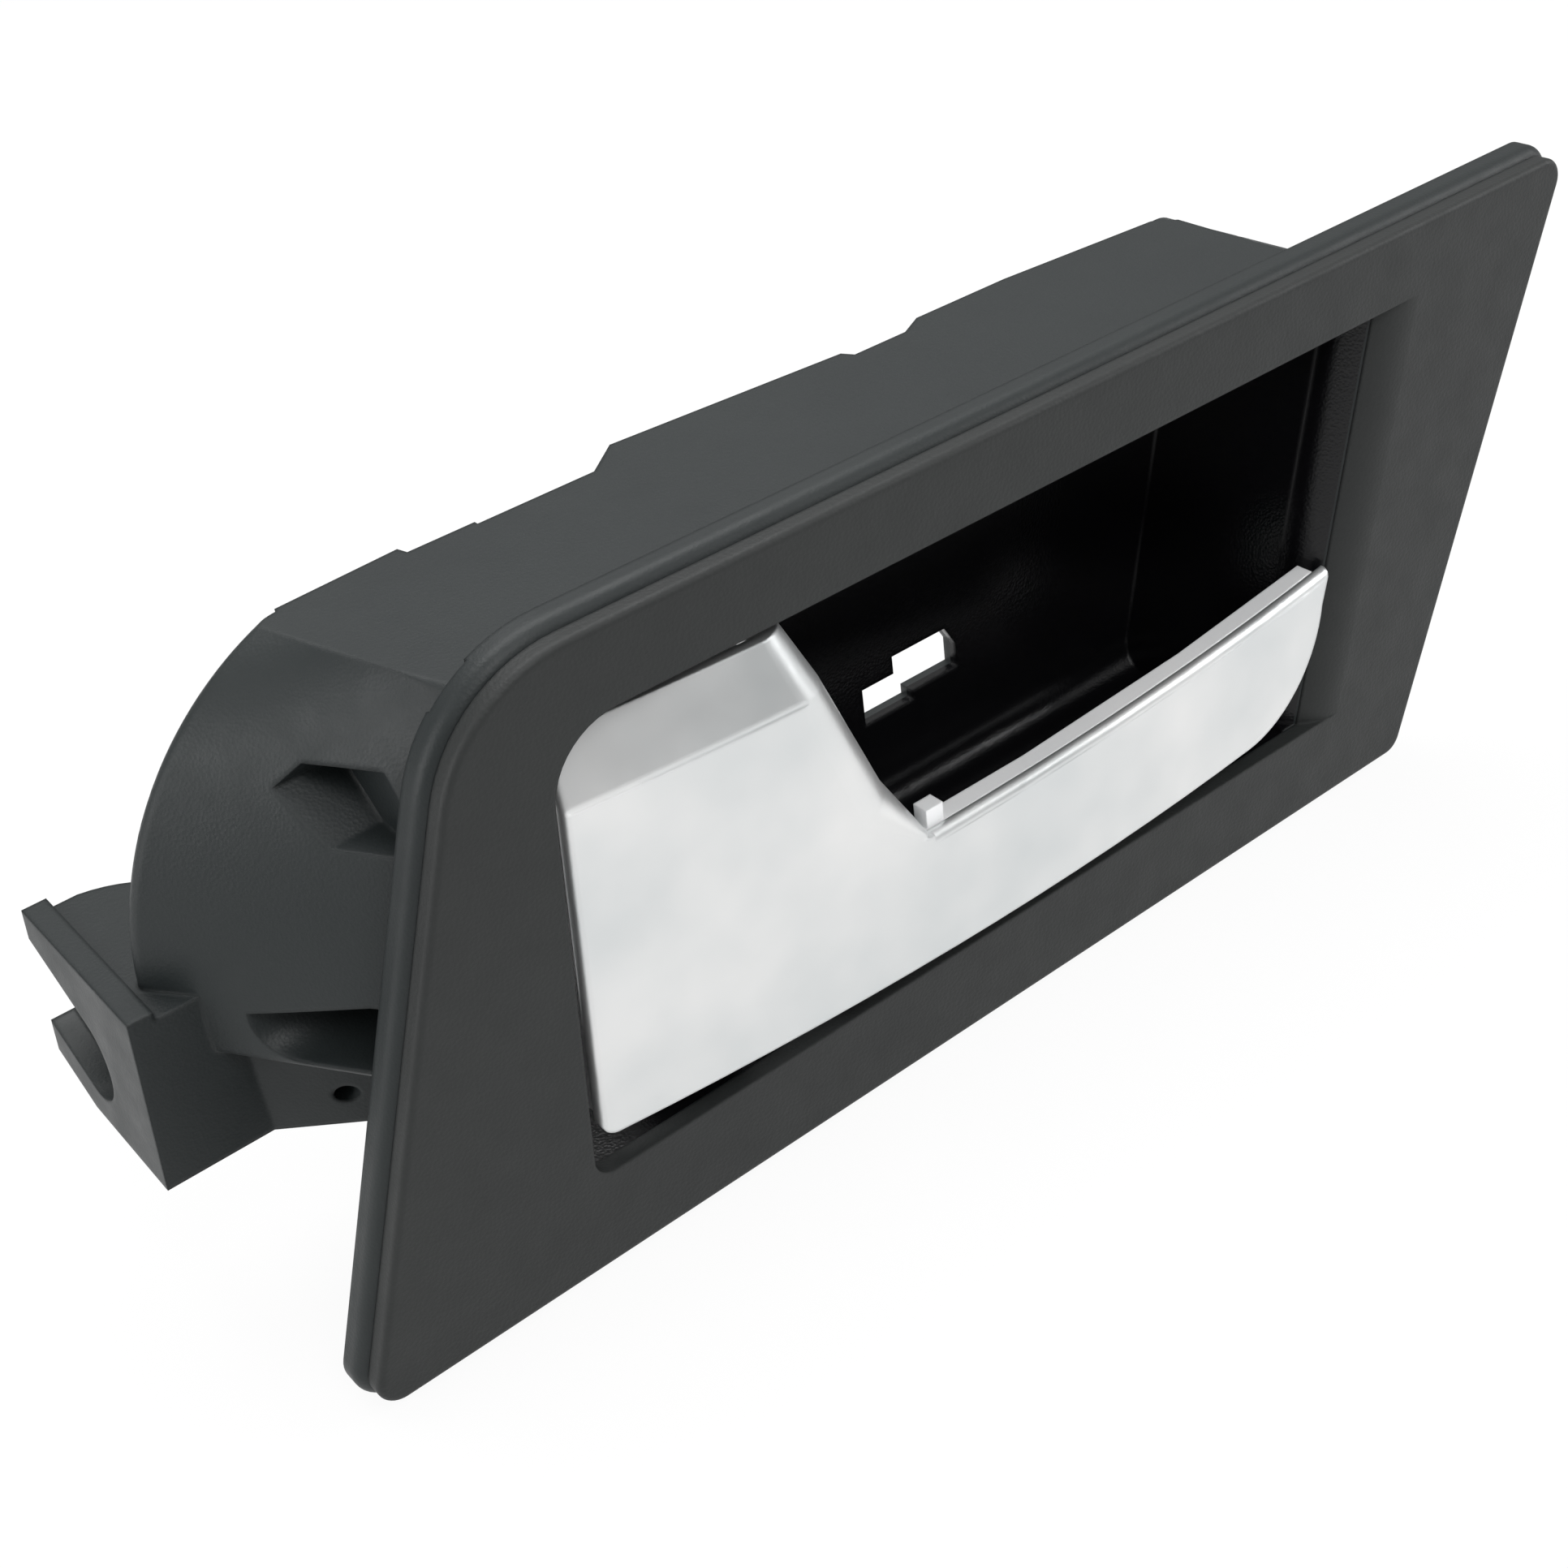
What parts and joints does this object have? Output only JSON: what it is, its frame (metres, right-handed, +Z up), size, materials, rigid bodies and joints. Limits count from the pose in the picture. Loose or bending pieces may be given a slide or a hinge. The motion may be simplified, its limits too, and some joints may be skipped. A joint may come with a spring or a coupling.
{
  "type": "car interior door handle",
  "caption": "Flush car interior door handle: slanted bezel on a moulded housing with a finger recess, a bowed sprung pull lever and a bracket for the release cable.",
  "frame": {"origin": "on the lower strip of the flange's rear face, 35 mm below the middle of the plate, where the handle rests on the door trim", "axes": "+X along the plate towards the lever's free end, +Y into the door, +Z up"},
  "size_m": [0.2041, 0.0573, 0.0812],
  "materials": {
    "housing_plastic": "moulded dark charcoal, slightly satin",
    "bezel_plastic": "fine grained dark charcoal",
    "satin_silver": "satin silver paint on plastic",
    "lever_plastic": "silver plastic, smooth",
    "steel": "zinc plated",
    "spring_steel": "drawn spring wire",
    "bushing_plastic": "natural white bearing plastic",
    "rubber": "soft black rubber"
  },
  "bodies": {
    "base": {"housing": "housing_plastic", "bezel": "bezel_plastic", "pivot_pin": "steel", "rest_bumper": "rubber", "travel_bumper": "rubber", "return_spring": "spring_steel"},
    "lever": {"lever_cover": "satin_silver", "lever_body": "lever_plastic", "upper_bushing": "bushing_plastic", "lower_bushing": "bushing_plastic", "cable_bush": "bushing_plastic", "cover_screw_1": "steel", "cover_screw_2": "steel", "cover_screw_3": "steel", "cover_screw_4": "steel"}
  },
  "joints": [
    {"name": "lever_hinge", "type": "hinge", "parent": "base", "child": "lever", "pos_m": [-0.048, 0.005, 0.038], "axis": [0, 0, -1], "range_deg": [0, 35], "stiffness_Nm_per_rad": 0.11, "springref_deg": -68.75, "deforming": ["return_spring"]}
  ]
}
